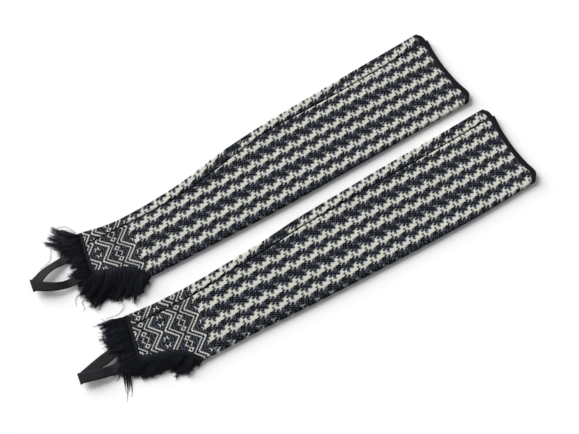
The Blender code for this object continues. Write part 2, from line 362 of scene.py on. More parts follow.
# %% Camera, light and floor
CAMERA_TARGET = Vector((6.17 * MM, -19.02 * MM, 0.0))
CAMERA_AZIMUTH = -30.2
CAMERA_ELEVATION = 65.0
CAMERA_DISTANCE = 1.300
CAMERA_LENS = 54.25

LIGHT_FROM = (-0.42, 0.90)
LIGHT_ELEVATION = 28.0
LIGHT_SOFTNESS = 52.0
LIGHT_STRENGTH = 5.40
WORLD_STRENGTH = 0.30
FLOOR_HALF_SIZE = 4.0
FLOOR_DROP = 0.0002


def add_object(name, data):
    """Puts one object into the scene."""
    made = bpy.data.objects.new(name, data)
    bpy.context.scene.collection.objects.link(made)
    return made


def direction(azimuth, elevation):
    """The way from the object to a camera at that azimuth and elevation, in degrees."""
    a = math.radians(azimuth)
    e = math.radians(elevation)
    return Vector((math.sin(a) * math.cos(e), -math.cos(a) * math.cos(e), math.sin(e)))


def add_camera():
    camera = add_object("camera", bpy.data.cameras.new("camera"))
    back = direction(CAMERA_AZIMUTH, CAMERA_ELEVATION)
    camera.location = CAMERA_TARGET + back * CAMERA_DISTANCE
    camera.rotation_mode = "QUATERNION"
    camera.rotation_quaternion = (-back).to_track_quat("-Z", "Y")
    camera.data.sensor_width = 36.0
    camera.data.lens = CAMERA_LENS
    camera.data.clip_end = 20.0
    bpy.context.scene.camera = camera
    return camera


def add_light():
    lamp = bpy.data.lights.new("window_light", "SUN")
    lamp.energy = LIGHT_STRENGTH
    lamp.angle = math.radians(LIGHT_SOFTNESS)
    light = add_object("window_light", lamp)
    flat = Vector((*LIGHT_FROM, 0.0)).normalized() * math.cos(math.radians(LIGHT_ELEVATION))
    source = flat + Vector((0.0, 0.0, math.sin(math.radians(LIGHT_ELEVATION))))
    light.rotation_mode = "QUATERNION"
    light.rotation_quaternion = source.to_track_quat("Z", "Y")
    world = bpy.data.worlds.new("studio")
    world.use_nodes = True
    background = world.node_tree.nodes["Background"]
    background.inputs["Color"].default_value = (1.0, 1.0, 1.0, 1.0)
    background.inputs["Strength"].default_value = WORLD_STRENGTH
    bpy.context.scene.world = world


def add_floor():
    half = FLOOR_HALF_SIZE
    mesh = bpy.data.meshes.new("pale_floor")
    corners = [(-half, -half, 0.0), (half, -half, 0.0), (half, half, 0.0), (-half, half, 0.0)]
    mesh.from_pydata(corners, [], [(0, 1, 2, 3)])
    material = bpy.data.materials.new("matt_white")
    material.use_nodes = True
    shader = material.node_tree.nodes["Principled BSDF"]
    shader.inputs["Base Color"].default_value = (0.93, 0.93, 0.93, 1.0)
    shader.inputs["Roughness"].default_value = 0.9
    shader.inputs["Specular IOR Level"].default_value = 0.1
    mesh.materials.append(material)
    floor = add_object("pale_floor", mesh)
    floor.location.z = -FLOOR_DROP


camera = add_camera()
add_light()
add_floor()
bpy.context.scene.view_settings.view_transform = "Standard"
print("camera at", [round(x, 3) for x in camera.location])

# %% [markdown]
# ## Walls between two grids
# Every cloth piece is a thin closed wall: an outer grid of points, an inner one, and narrow rims
# between them, so it has a true thickness at its edges. The map named OFBake lays the outer face,
# the inner face and the rims side by side, for anyone who wants to paint the piece.

# %% Walls, materials and places
OUTER_MAP = (0.005, 0.790)
INNER_MAP = (0.800, 0.960)
RIM_MAPS = ((0.964, 0.970), (0.973, 0.979), (0.982, 0.988), (0.991, 0.997))
MAP_EDGE = 0.005


def leg_matrix(leg):
    """From a leg's own millimetres to the pair's metres."""
    turn = Matrix.Rotation(math.radians(leg["turn"]), 4, "Z")
    move = Matrix.Translation((leg["place"][0] * MM, leg["place"][1] * MM, 0.0))
    return move @ turn @ Matrix.Scale(MM, 4)


def grid_quads(numbers, flip):
    """The quads between the points of a grid of point numbers."""
    a, b, c, d = numbers[:-1, :-1], numbers[:-1, 1:], numbers[1:, 1:], numbers[1:, :-1]
    order = (a, d, c, b) if flip else (a, b, c, d)
    return np.stack(order, axis=-1).reshape(-1, 4)


def rim_quads(first, second):
    """One row of quads between two lines of point numbers."""
    return np.stack((first[:-1], first[1:], second[1:], second[:-1]), axis=-1)


def grid_map(rows, columns, band, flip):
    """Where a grid's quads lie on the piece's own map."""
    u = np.linspace(MAP_EDGE, 1.0 - MAP_EDGE, rows)[:, None].repeat(columns, axis=1)
    v = np.linspace(band[0], band[1], columns)[None, :].repeat(rows, axis=0)
    spots = np.stack((u, v), axis=-1).reshape(-1, 2)
    return spots[grid_quads(np.arange(rows * columns).reshape(rows, columns), flip)]


def rim_map(count, band):
    """Where a rim's quads lie on that map."""
    u = np.linspace(MAP_EDGE, 1.0 - MAP_EDGE, count)
    low, high = [np.stack((u, np.full(count, v)), axis=-1) for v in band]
    return np.stack((low[:-1], low[1:], high[1:], high[:-1]), axis=1)


def mesh_object(leg, piece, points, faces, material):
    """One named piece from points in the leg's millimetres, laid in its place."""
    name = leg["name"] + "_" + piece
    matrix = np.array(leg_matrix(leg))
    placed = points.reshape(-1, 3) @ matrix[:3, :3].T + matrix[:3, 3]
    mesh = bpy.data.meshes.new(name)
    mesh.from_pydata(placed, [], faces)
    mesh.materials.append(material)
    mesh.shade_smooth()
    return add_object(name, mesh)


def paint_map(made, name, corners):
    """Adds one map to a piece, with a pair of numbers for every corner of every face."""
    layer = made.data.uv_layers.new(name=name)
    layer.uv.foreach_set("vector", np.asarray(corners, np.float32).ravel())


def give_values(made, name, values):
    """Adds one number for every point of a piece, which its material can read."""
    layer = made.data.attributes.new(name, "FLOAT", "POINT")
    layer.data.foreach_set("value", np.concatenate(values).astype(np.float32))


def wall_parts(outer, inner):
    """Points, quads and map of a closed wall between two grids of the same shape."""
    rows, columns = outer.shape[:2]
    out = np.arange(rows * columns).reshape(rows, columns)
    inn = out + rows * columns
    quads = [grid_quads(out, False), grid_quads(inn, True)]
    spots = [grid_map(rows, columns, OUTER_MAP, False), grid_map(rows, columns, INNER_MAP, True)]
    rims = ((inn[0], out[0]), (out[-1], inn[-1]), (out[:, 0], inn[:, 0]), (inn[:, -1], out[:, -1]))
    for (first, second), band in zip(rims, RIM_MAPS):
        quads.append(rim_quads(first, second))
        spots.append(rim_map(len(first), band))
    points = np.concatenate((outer.reshape(-1, 3), inner.reshape(-1, 3)))
    return points, np.concatenate(quads), np.concatenate(spots)


def wall(leg, piece, outer, inner, material):
    """A closed wall as one object, with the map that lays its faces side by side."""
    points, quads, spots = wall_parts(outer, inner)
    made = mesh_object(leg, piece, points, quads.tolist(), material)
    paint_map(made, "OFBake", spots)
    print(made.name, "has", 2 * len(quads), "triangles")
    return made


# %% [markdown]
# ## Small helpers for the materials
# The knit's material is a calculation made of many Math nodes. A helper that adds one node and
# returns its result lets it be read like a formula. Colours are given as they look on a screen and
# turned to the linear light that shaders expect.

# %% Material helpers
def screen_colour(red, green, blue):
    """A screen colour from 0 to 255 as linear light."""
    shares = [channel / 255.0 for channel in (red, green, blue)]
    linear = [s / 12.92 if s <= 0.04045 else ((s + 0.055) / 1.055) ** 2.4 for s in shares]
    return (*linear, 1.0)


def put(tree, socket, value):
    """Joins a socket to another node's result, or gives it a plain value."""
    if isinstance(value, bpy.types.NodeSocket):
        tree.links.new(value, socket)
    else:
        socket.default_value = value


def calc(tree, operation, *values):
    """One Math node, as a function of numbers and other results."""
    node = tree.nodes.new("ShaderNodeMath")
    node.operation = operation
    for socket, value in zip(node.inputs, values):
        put(tree, socket, value)
    return node.outputs[0]


def blend_colours(tree, share, first, second):
    """The first colour where share is 0 and the second where it is 1."""
    node = tree.nodes.new("ShaderNodeMix")
    node.data_type = "RGBA"
    put(tree, node.inputs[0], share)
    put(tree, node.inputs[6], first)
    put(tree, node.inputs[7], second)
    return node.outputs[2]


def noise(tree, scale, detail=2.0, roughness=0.5):
    """Soft cloudy variation from 0 to 1 over the object, with scale in clouds per metre."""
    place = tree.nodes.new("ShaderNodeTexCoord")
    node = tree.nodes.new("ShaderNodeTexNoise")
    node.inputs["Scale"].default_value = scale
    node.inputs["Detail"].default_value = detail
    node.inputs["Roughness"].default_value = roughness
    tree.links.new(place.outputs["Object"], node.inputs["Vector"])
    return node.outputs["Fac"]


def point_value(tree, name):
    """The numbers that give_values put on the mesh."""
    node = tree.nodes.new("ShaderNodeAttribute")
    node.attribute_name = name
    return node.outputs["Fac"]


def new_cloth(name, roughness, sheen, sheen_roughness, sheen_colour, specular):
    """A cloth material whose plain values sit on the shader's own sockets."""
    material = bpy.data.materials.new(name)
    material.use_nodes = True
    tree = material.node_tree
    shader = tree.nodes["Principled BSDF"]
    shader.inputs["Roughness"].default_value = roughness
    shader.inputs["Sheen Weight"].default_value = sheen
    shader.inputs["Sheen Roughness"].default_value = sheen_roughness
    shader.inputs["Sheen Tint"].default_value = sheen_colour
    shader.inputs["Specular IOR Level"].default_value = specular
    return material, tree, shader


def add_bump(tree, shader, height, distance, strength):
    """Bump from a height between 0 and 1 that stands for that distance in metres."""
    node = tree.nodes.new("ShaderNodeBump")
    node.inputs["Distance"].default_value = distance
    node.inputs["Strength"].default_value = strength
    tree.links.new(height, node.inputs["Height"])
    tree.links.new(node.outputs["Normal"], shader.inputs["Normal"])


def two_tone_cloth(name, finish, tones, clouds, grain, bump):
    """A cloth between two near tones.

    finish is the roughness, the sheen, its roughness and colour, and the specular level. clouds
    is the noise between the tones, or the name of a point value. grain is the bump's noise.
    """
    material, tree, shader = new_cloth(name, *finish)
    share = point_value(tree, clouds) if isinstance(clouds, str) else noise(tree, *clouds)
    dark, light = [screen_colour(*tone) for tone in tones]
    tree.links.new(blend_colours(tree, share, dark, light), shader.inputs["Base Color"])
    add_bump(tree, shader, noise(tree, *grain), *bump)
    return material


print("material helpers are ready")

# %% [markdown]
# ## The knit's charts
# The legs are a two-colour jacquard of ivory and navy-black yarn, with single grey stitches in the
# dark ground. Knitters write such a pattern as a chart with one letter a stitch, and this one is
# drawn. Its repeat is a row of ivory checks of the hound's-tooth kind, joined to a chain
# along the leg, then a narrow ground, the chain again, and a wide ground with a pale dash. The
# border at the ankle is a plain one, of chevron lines with small arrowheads between them.
#
# o is ivory, # is navy-black, a point is a grey stitch and g a pale grey one. A line of the chart
# runs along the leg, and the lines follow each other across it.

# %% Charts
CHAIN_UPPER = (
    "g.########..##.o",
    ".##..#####..goo.",
)
CHAIN_LOWER = (
    "###g..####.gooo.",
    ".go.##.g.##.oooo",
    "ooo.##.oog.goooo",
    ".oogg.oooooooog.",
    "goog##gooooooo.#",
    "goooogooooooooog",
    "#goooooooooooog#",
    "#og.gooogo.#####",
    "o.##.og...#####.",
    "####.og..#######",
    ".##.g.##..#####.",
)
NARROW_GROUND = (
    "##.###.##.######",
    "#######..#######",
)
WIDE_GROUND = (
    "#.##.##..#######",
    "#####..###.###.#",
    "####..########.#",
    "########.g.#####",
    "#########.gggg.#",
    "##########.g.###",
)
MAIN_CHART = CHAIN_LOWER + NARROW_GROUND + CHAIN_UPPER + CHAIN_LOWER + WIDE_GROUND + CHAIN_UPPER
CHART_LENGTH = 16

# A quarter of the border's chevrons. It is mirrored along the leg and across it.
BORDER_CHART = (
    "#oo##.o.###.##.#o###",
    "#.og##.o.##.###.#o##",
    "##.oo##.o.#.##.##.o#",
    ".##.og##.o.##.###.##",
    "#.##.oo##.o.#.##.##o",
    "##.##.og##.o.###.#o#",
    "#o#.##.oo##.o.##.oo#",
    "go##.##.og##.o.#.#o#",
    "#o##.#.#.oo##.o.##.o",
    "##o##.##.#og##.o.##.",
    "###.##.##.#oo##.o.##",
    "#.####.##.##og##.o.#",
)
BORDER_HALF = 20
FIRST_CHAIN_BLOCK = -5.45
CHART_WIDTH = 46.15
STITCH_ACROSS = CHART_WIDTH / len(MAIN_CHART)
CHAIN_MIDDLE_ROW = 19.15
print("main chart:", CHART_LENGTH, "by", len(MAIN_CHART), "stitches")

# %% [markdown]
# ## A chart inside a colour ramp
# No image is used, so the chart lives in nodes. Each stop of a stepped colour ramp is one line of
# the chart. The line's ivory stitches are the binary digits of the number in its red channel, the
# grey ones those in green and the pale ones those in blue. To read a stitch, the number is doubled
# until its digit stands before the point, and the rest of a division by two is that digit. So
# every stitch keeps a sharp edge at any size of picture.

# %% Ramps that hold a chart
RAMP_STEPS = 32.0
LETTERS = "o.g"


def line_number(line, letter):
    """The places of one letter in a line, as the binary digits of a number below 1."""
    return sum(0.5 ** (place + 1) for place, mark in enumerate(line) if mark == letter)


def chart_ramp(tree, lines, row):
    """A ramp with one stop for each line of a chart, read at a row number."""
    node = tree.nodes.new("ShaderNodeValToRGB")
    ramp = node.color_ramp
    ramp.interpolation = "CONSTANT"
    ramp.elements.remove(ramp.elements[1])
    for number, line in enumerate(lines):
        stop = ramp.elements[0] if number == 0 else ramp.elements.new(number / RAMP_STEPS)
        stop.position = number / RAMP_STEPS
        stop.color = (*[line_number(line, letter) for letter in LETTERS], 1.0)
    middle = calc(tree, "ADD", row, 0.5)
    tree.links.new(calc(tree, "DIVIDE", middle, RAMP_STEPS), node.inputs["Fac"])
    return node.outputs["Color"]


def read_chart(tree, chart, row, column):
    """Three results that are 1 on the chart's ivory, grey and pale stitches, else 0."""
    half = len(chart) // 2 if len(chart) > RAMP_STEPS else len(chart)
    colour = chart_ramp(tree, chart[:half], row)
    if half < len(chart):
        upper = chart_ramp(tree, chart[half:], calc(tree, "SUBTRACT", row, float(half)))
        is_upper = calc(tree, "GREATER_THAN", row, half - 0.5)
        colour = blend_colours(tree, is_upper, colour, upper)
    split = tree.nodes.new("ShaderNodeSeparateColor")
    tree.links.new(colour, split.inputs[0])
    doubled = calc(tree, "POWER", 2.0, calc(tree, "ADD", column, 1.0))
    digits = []
    for channel in split.outputs:
        shifted = calc(tree, "MULTIPLY", channel, doubled)
        digits.append(calc(tree, "FLOOR", calc(tree, "MODULO", shifted, 2.0)))
    return digits


print("first line of the chart as a number:", line_number(MAIN_CHART[0], "o"))

# %% [markdown]
# ## The knit's material
# The map named Stitches counts stitches, along the leg in x and across it in y. Each stitch is a
# small V, so the edges between colours step in little Vs, and the same V gives the bump. Fine
# noise stands for the fluff of the yarn. The seam is a furrow, and its shade is painted on as a
# dark line. The distance to it comes from the mesh.

# %% Knit material
IVORY = screen_colour(215, 214, 204)
NAVY = screen_colour(6, 8, 13)
SPECK = screen_colour(66, 71, 80)
GREY = screen_colour(78, 82, 91)
PALE = screen_colour(134, 137, 140)
# Painted shade: the dark colour laid along the seam's furrow.
SEAM_PAINTED_SHADE = screen_colour(16, 18, 25)
STITCH_SLANT = 0.45
SEAM_LINE = 0.75
SEAM_SOFT = 0.5
SPECK_STEP = 2.0
SPECK_EVERY = 5.0
MOTTLE_CLOUDS = 900.0
MOTTLE = (0.5, 0.72)
FLUFF_CLOUDS = 1400.0
FLUFF_HEIGHT = 0.6
KNIT_BUMP = (0.0005, 0.7)


def stitch_height(tree, along, across_share):
    """Height of a V-shaped stitch, from 0 in the gaps to 1 on its two legs."""
    from_middle = calc(tree, "ABSOLUTE", calc(tree, "SUBTRACT", across_share, 0.5))
    on_leg = calc(tree, "SINE", calc(tree, "MULTIPLY", from_middle, 2.0 * math.pi))
    place = calc(tree, "FRACT", along)
    bow = calc(tree, "SINE", calc(tree, "MULTIPLY", place, math.pi))
    return calc(tree, "MULTIPLY", calc(tree, "POWER", bow, 0.6), calc(tree, "MAXIMUM", on_leg, 0.0))


def knit_material():
    material, tree, shader = new_cloth("jacquard_knit", 0.95, 0.03, 0.5, (1, 1, 1, 1), 0.08)
    stitches = tree.nodes.new("ShaderNodeUVMap")
    stitches.uv_map = "Stitches"
    split = tree.nodes.new("ShaderNodeSeparateXYZ")
    tree.links.new(stitches.outputs[0], split.inputs[0])
    along, across = split.outputs[0], split.outputs[1]

    across_share = calc(tree, "FRACT", across)
    from_middle = calc(tree, "ABSOLUTE", calc(tree, "SUBTRACT", across_share, 0.5))
    slanted = calc(tree, "MULTIPLY_ADD", from_middle, STITCH_SLANT, along)
    row = calc(tree, "FLOOR", across)
    column = calc(tree, "FLOOR", slanted)

    main_row = calc(tree, "FLOORED_MODULO", row, float(len(MAIN_CHART)))
    main_column = calc(tree, "FLOORED_MODULO", column, float(CHART_LENGTH))
    ivory, grey, pale = read_chart(tree, MAIN_CHART, main_row, main_column)

    start = FIRST_CHAIN_BLOCK * CHART_LENGTH
    from_start = calc(tree, "FLOOR", calc(tree, "SUBTRACT", start, column))
    in_border = calc(tree, "GREATER_THAN", from_start, -0.5)
    border_row = calc(tree, "PINGPONG", calc(tree, "ADD", row, 0.5), float(len(BORDER_CHART)))
    border_row = calc(tree, "FLOOR", border_row)
    border_column = calc(tree, "PINGPONG", calc(tree, "ADD", from_start, 0.5), float(BORDER_HALF))
    border_marks = read_chart(tree, BORDER_CHART, border_row, calc(tree, "FLOOR", border_column))

    marks = []
    for main_mark, border_mark in zip((ivory, grey, pale), border_marks):
        step = calc(tree, "MULTIPLY", calc(tree, "SUBTRACT", border_mark, main_mark), in_border)
        marks.append(calc(tree, "ADD", main_mark, step))
    ivory, grey, pale = marks

    lattice = calc(tree, "MULTIPLY_ADD", column, SPECK_STEP, row)
    speck = calc(tree, "LESS_THAN", calc(tree, "FLOORED_MODULO", lattice, SPECK_EVERY), 0.5)
    colour = blend_colours(tree, speck, NAVY, SPECK)
    colour = blend_colours(tree, grey, colour, GREY)
    colour = blend_colours(tree, pale, colour, PALE)
    colour = blend_colours(tree, ivory, colour, IVORY)

    mottle = calc(tree, "MULTIPLY_ADD", noise(tree, MOTTLE_CLOUDS, 3.0), *MOTTLE)
    shade = tree.nodes.new("ShaderNodeVectorMath")
    shade.operation = "SCALE"
    tree.links.new(colour, shade.inputs[0])
    tree.links.new(mottle, shade.inputs["Scale"])

    # Painted shade: near the seam the colour turns to the dark painted shade of its furrow.
    past_line = calc(tree, "SUBTRACT", point_value(tree, "seam_distance"), SEAM_LINE)
    out_of_seam_shade = calc(tree, "DIVIDE", past_line, SEAM_SOFT)
    node = tree.nodes.new("ShaderNodeClamp")
    tree.links.new(out_of_seam_shade, node.inputs["Value"])
    final = blend_colours(tree, node.outputs[0], SEAM_PAINTED_SHADE, shade.outputs[0])
    tree.links.new(final, shader.inputs["Base Color"])

    fluff = noise(tree, FLUFF_CLOUDS, 3.0, 0.7)
    stitch = stitch_height(tree, slanted, across_share)
    height = calc(tree, "MULTIPLY_ADD", fluff, FLUFF_HEIGHT, stitch)
    add_bump(tree, shader, height, *KNIT_BUMP)
    return material


knit_look = knit_material()
print("the knit's material has", len(knit_look.node_tree.nodes), "nodes")

# %% [markdown]
# ## Round the leg
# A grid that wraps a flat tube needs its columns close together on the two soft folds and beside
# the seam. Each column is a stop: the front from the seam to the shin fold, round the fold, the
# back, round the calf fold, and the short strip back to the seam. A stop knows its share of its
# own zone, so it follows the leg as it widens.

# %% Stops round the leg
FRONT_STEPS = 52
BACK_STEPS = 62
FOLD_STEPS = 9
STRIP_STEPS = 9
SEAM_STEPS = (0.0, 0.006, 0.014)
FRONT_FROM = 0.026
STRIP_TO = 0.82
STRIP_END_STEPS = (0.91, 0.965, 1.0)
FRONT, SHIN_FOLD, BACK, CALF_FOLD, STRIP = range(5)


def round_stops(front_steps=FRONT_STEPS, back_steps=BACK_STEPS, fold_steps=FOLD_STEPS):
    """Zone and share of every stop round the leg."""
    front = [(FRONT, s) for s in SEAM_STEPS]
    front += [(FRONT, s) for s in np.linspace(FRONT_FROM, 1.0, front_steps)]
    shin = [(SHIN_FOLD, k / fold_steps) for k in range(1, fold_steps)]
    back = [(BACK, s) for s in np.linspace(0.0, 1.0, back_steps)]
    calf = [(CALF_FOLD, k / fold_steps) for k in range(1, fold_steps)]
    strip = [(STRIP, s) for s in np.linspace(0.0, STRIP_TO, STRIP_STEPS)]
    strip += [(STRIP, s) for s in STRIP_END_STEPS]
    stops = front + shin + back + calf + strip
    return np.array([s[0] for s in stops]), np.array([s[1] for s in stops])


def unroll(zones, shares, seam, gap_share):
    """Fraction across, bulge round a fold and level, for stops on rings with that seam.

    seam and gap_share are columns with one number for each ring.
    """
    front = seam + gap_share + (1.0 - seam - gap_share) * shares
    strip = (seam - gap_share) * shares
    fraction = np.select(
        [zones == FRONT, zones == SHIN_FOLD, zones == BACK, zones == CALF_FOLD],
        [front, np.ones_like(front), np.broadcast_to(1.0 - shares, front.shape), 0.0 * front],
        strip,
    )
    angle = math.pi * shares
    bulge = np.select(
        [zones == SHIN_FOLD, zones == CALF_FOLD], [-np.sin(angle), np.sin(angle)], 0.0
    )
    level = np.select(
        [zones == BACK, zones == SHIN_FOLD, zones == CALF_FOLD],
        [-1.0, np.cos(angle), -np.cos(angle)],
        1.0,
    )
    return fraction, bulge, level


zones, shares = round_stops()
print("stops round the leg:", len(zones))

# %% [markdown]
# ## Soft creases
# The knit is thick and lies almost flat, so its creases are a few shallow troughs and ridges,
# uneven in length and depth, with more of them near the ankle. Each is one row of a table. The
# hidden back gets its own, but it rests on the floor, so there the cloth can only lift.

# %% Creases
FRONT_CREASES = (
    # along, across, direction in degrees, half length, half width, height
    (38, 74, 62, 26, 5, 0.9),
    (58, 60, 50, 34, 7, -0.9),
    (84, 38, 18, 44, 6, 0.8),
    (128, 66, 24, 62, 9, -0.7),
    (196, 30, -10, 70, 8, 0.6),
    (232, 84, 32, 48, 10, -0.8),
    (300, 52, 8, 90, 12, 0.6),
    (356, 100, 14, 60, 9, -0.6),
    (420, 28, -12, 76, 11, -0.7),
    (478, 92, 20, 66, 12, 0.7),
    (556, 44, 78, 38, 9, -0.7),
    (592, 108, 84, 30, 8, 0.8),
)
BACK_CREASES = (
    # along, across, direction in degrees, half length, half width, lift
    (44, 70, 70, 30, 6, 0.9),
    (92, 50, 30, 46, 8, 0.8),
    (164, 78, 16, 60, 9, 1),
    (248, 36, -14, 72, 10, 0.8),
    (338, 90, 22, 64, 9, 1.1),
    (430, 48, 6, 84, 12, 0.8),
    (520, 104, -18, 58, 10, 1),
    (584, 60, 80, 34, 8, 0.9),
)
LEG_CREASE_SHIFT = {"far_leg": (0.0, 0.0), "near_leg": (17.0, -6.0)}
CREASE_WAVER = (3.0, 2.1)
CREASE_TAPER = 1.4
SWELL = 0.28
SWELL_WAVES = (
    # share, millimetres a radian along and across, start
    (1, 23, 31, 0),
    (0.7, 41, -17, 1.3),
    (0.5, 11, 13, 0.6),
)


def crease_height(rows, along, across, shift):
    """How far the creases of a table lift the cloth at each place."""
    total = np.zeros_like(along)
    for place, side, degrees, half_length, half_width, height in rows:
        run_x = along - place - shift[0]
        run_y = across - side - shift[1]
        a = math.radians(degrees)
        lengthwise = (run_x * math.cos(a) + run_y * math.sin(a)) / half_length
        bend = CREASE_WAVER[0] * np.sin(lengthwise * CREASE_WAVER[1] + place)
        sideways = (run_y * math.cos(a) - run_x * math.sin(a) + bend) / half_width
        total += height * np.exp(-(lengthwise ** 2) * CREASE_TAPER - sideways ** 2)
    return total


def gentle_swell(along, across):
    """The slow waves of cloth that was never ironed, between -1 and 1."""
    total = np.zeros_like(along)
    for share, run, side, start in SWELL_WAVES:
        total += share * np.sin(along / run + across / side + start)
    return total / sum(wave[0] for wave in SWELL_WAVES)


print("creases on the front:", len(FRONT_CREASES), "and on the back:", len(BACK_CREASES))

# %% [markdown]
# ## The rings of the knitted tube
# The tube is one grid of quads about two millimetres wide. Its rings follow the shaped ankle edge
# at one end and the bowed hem with its rounded corners at the other. Creases and the furrow of the
# seam lift and lower the points a little.

# %% Rings and relief
ANKLE_ROWS = 38
BODY_ROWS = 236
HEM_ROWS = 17
REBATE = BINDING_WALL + SEAM_GAP
SHOULDER = LEG_LENGTH - BINDING_WIDTH - SEAM_GAP
CORNER_ROUND = 2.6
KNIT_END = LEG_LENGTH - BINDING_WALL - 2.0 * SEAM_GAP
SEAM_FURROW = (1.1, 1.2)
SEAM_LIP = (0.3, 3.0, 1.6)
FAR_FROM_SEAM = 50.0
HEM_FADE = (24.0, 18.0)
ANKLE_FADE = 20.0
ANKLE_RELIEF = 0.35
TUCK_RUN = (1.6, 1.8)
FOLD_PUFF = 0.35


def hem_shift(fraction, bulge):
    """How far the hem lies from a straight cut, with its two corners rounded."""
    return smooth(HEM_SHAPE, 1, fraction) - CORNER_ROUND * bulge ** 2


def tube_rings(leg):
    """For every ring: its place along the leg at each stop, and the stops themselves."""
    ankle = np.linspace(0.0, 1.0, ANKLE_ROWS, endpoint=False)[:, None]
    straight = np.linspace(FIRST_FULL_RING, HEM_SWELL_START, BODY_ROWS, endpoint=False)
    hem = np.linspace(HEM_SWELL_START, KNIT_END, HEM_ROWS)
    nominal = np.concatenate((straight, hem))[:, None]
    ankle_nominal = ankle_at(leg, 0.0) * (1.0 - ankle) + FIRST_FULL_RING * ankle
    nominal = np.concatenate((ankle_nominal, nominal))
    seam = seam_fraction(leg, nominal)
    gap = SEAM_GAP / 2.0 / flat_width(leg, nominal)
    fraction, bulge, level = unroll(zones[None, :], shares[None, :], seam, gap)
    edge = ankle_at(leg, fraction[:ANKLE_ROWS])
    ankle_along = edge * (1.0 - ankle) + FIRST_FULL_RING * ankle
    body = nominal[ANKLE_ROWS:]
    bow = (body - HEM_SWELL_START) / (SHOULDER - HEM_SWELL_START)
    shift = hem_shift(fraction[ANKLE_ROWS:], bulge)
    body_along = body + shift * np.clip(bow, 0.0, 1.0)
    return np.concatenate((ankle_along, body_along)), fraction, bulge, level


def seam_distance(leg, along, fraction, level):
    """How far each point of the front is from the seam, in millimetres."""
    away = np.abs(fraction - seam_fraction(leg, along)) * flat_width(leg, along)
    return np.where(level > 0.5, away, FAR_FROM_SEAM)


def surface(along, across_middle, radius, bulge, level, depth):
    """Points at a depth under the outer face of the flattened tube."""
    across = across_middle + bulge * (radius - depth)
    return np.stack((along, across, radius + level * (radius - depth)), axis=-1)


def knit_relief(leg, along, across, level, distance):
    """How far the outer face stands out from the plain tube."""
    shift = LEG_CREASE_SHIFT[leg["name"]]
    swell = gentle_swell(along + 60.0 * shift[0], across)
    front = crease_height(FRONT_CREASES, along, across, shift) + SWELL * swell
    front -= SEAM_FURROW[0] * np.exp(-((distance / SEAM_FURROW[1]) ** 2))
    front += SEAM_LIP[0] * np.exp(-(((distance - SEAM_LIP[1]) / SEAM_LIP[2]) ** 2))
    back = -crease_height(BACK_CREASES, along, across, shift) - SWELL * (swell + 1.0) / 2.0
    lift = np.where(level > 0.0, front * level, back * -level)
    hem_fade = 1.0 - ease((along - SHOULDER + HEM_FADE[0]) / HEM_FADE[1])
    ankle_fade = ease((along - ankle_at(leg, 0.5)) / ANKLE_FADE)
    return lift * hem_fade * (ANKLE_RELIEF + (1.0 - ANKLE_RELIEF) * ankle_fade)


print("rings along a leg:", ANKLE_ROWS + BODY_ROWS + HEM_ROWS)

# %% [markdown]
# ## The stitches on the tube
# On the front, the chart's lines follow the chains that were measured on the leg. Round the back
# they run from the shin fold to the calf fold without a break, as fabric does. So they break only
# at the seam.

# %% Knitted tubes
STRIP_ROWS_BELOW = 4.5666


def stitch_numbers(leg, along, across, round_share):
    """Where each point lies in stitches, along and across the chart."""
    front_start = smooth(leg["chains"], 1, along)
    strip_start = smooth(leg["chains"], 2, along) + STRIP_ROWS_BELOW * CHART_WIDTH
    shin = across_at(leg, along, 1.0) - body_radius(along)
    calf = across_at(leg, along, 0.0) + body_radius(along)

    def by_zone(on_front, on_strip, at_shin, at_calf):
        on_back = at_shin + (at_calf - at_shin) * round_share
        return np.select([zones == FRONT, zones == STRIP], [on_front, on_strip], on_back)

    drop = by_zone(across - front_start, across - strip_start, shin - front_start, calf - strip_start)
    lean, lean_from = leg["lean"]
    slide = lean * (by_zone(across, across, shin, calf) - lean_from)
    run = along - slide - leg["first_block"]
    block = leg["blocks_per_mm"][0] * run + leg["blocks_per_mm"][1] * run * np.abs(run)
    columns = CHART_LENGTH * block + leg["shift"][0]
    rows = CHAIN_MIDDLE_ROW - drop / STITCH_ACROSS + leg["shift"][1]
    return columns, rows


def back_shares(leg, along, fraction, bulge):
    """How far round the hidden side a stop is, from the shin edge at 0 to the calf edge at 1."""
    radius = body_radius(along)
    width = flat_width(leg, along)
    turn = math.pi * radius
    total = turn + width + turn
    on_shin = turn * shares[None, :] * np.ones_like(along)
    on_back = turn + (1.0 - fraction) * width
    on_calf = turn + width + turn * shares[None, :]
    here = [zones == SHIN_FOLD, zones == BACK, zones == CALF_FOLD]
    walked = np.select(here, [on_shin, on_back, on_calf], 0.0)
    return np.clip((walked - turn / 2.0) / (total - turn), -0.05, 1.05)


def knit_tube(leg):
    along, fraction, bulge, level = tube_rings(leg)
    radius = body_radius(along)
    middle = across_at(leg, along, fraction)
    across = middle + bulge * radius
    distance = seam_distance(leg, along, fraction, level)
    relief = knit_relief(leg, along, across, level, distance)
    relief += FOLD_PUFF * np.abs(bulge) * (level > 0.0)
    past_shoulder = along - hem_shift(fraction, bulge) - SHOULDER
    tuck = REBATE * ease((past_shoulder + TUCK_RUN[0]) / TUCK_RUN[1])
    outer = surface(along, middle, radius, bulge, level, tuck - relief)
    inner = surface(along, middle, radius, bulge, level, KNIT_WALL - relief)
    made = wall(leg, "jacquard_tube", outer, inner, knit_look)

    columns, rows = stitch_numbers(leg, along, across, back_shares(leg, along, fraction, bulge))
    spots = np.stack((columns, rows), axis=-1).reshape(-1, 2)
    spots = np.concatenate((spots, spots))
    corners = np.zeros(len(made.data.loops), np.int32)
    made.data.loops.foreach_get("vertex_index", corners)
    paint_map(made, "Stitches", spots[corners])

    give_values(made, "seam_distance", (distance.ravel(), distance.ravel()))
    return made


knits = {leg["name"]: knit_tube(leg) for leg in LEGS}

# %% [markdown]
# ## The binding at the top hem
# A strip of fine black rib is folded over the hem, so that about eight millimetres show on both
# faces. Its profile is a narrow U, from one edge over the turn and back down inside. The ribs are
# real ridges. Where the strip's ends meet at the seam, one end stands up in a small step.

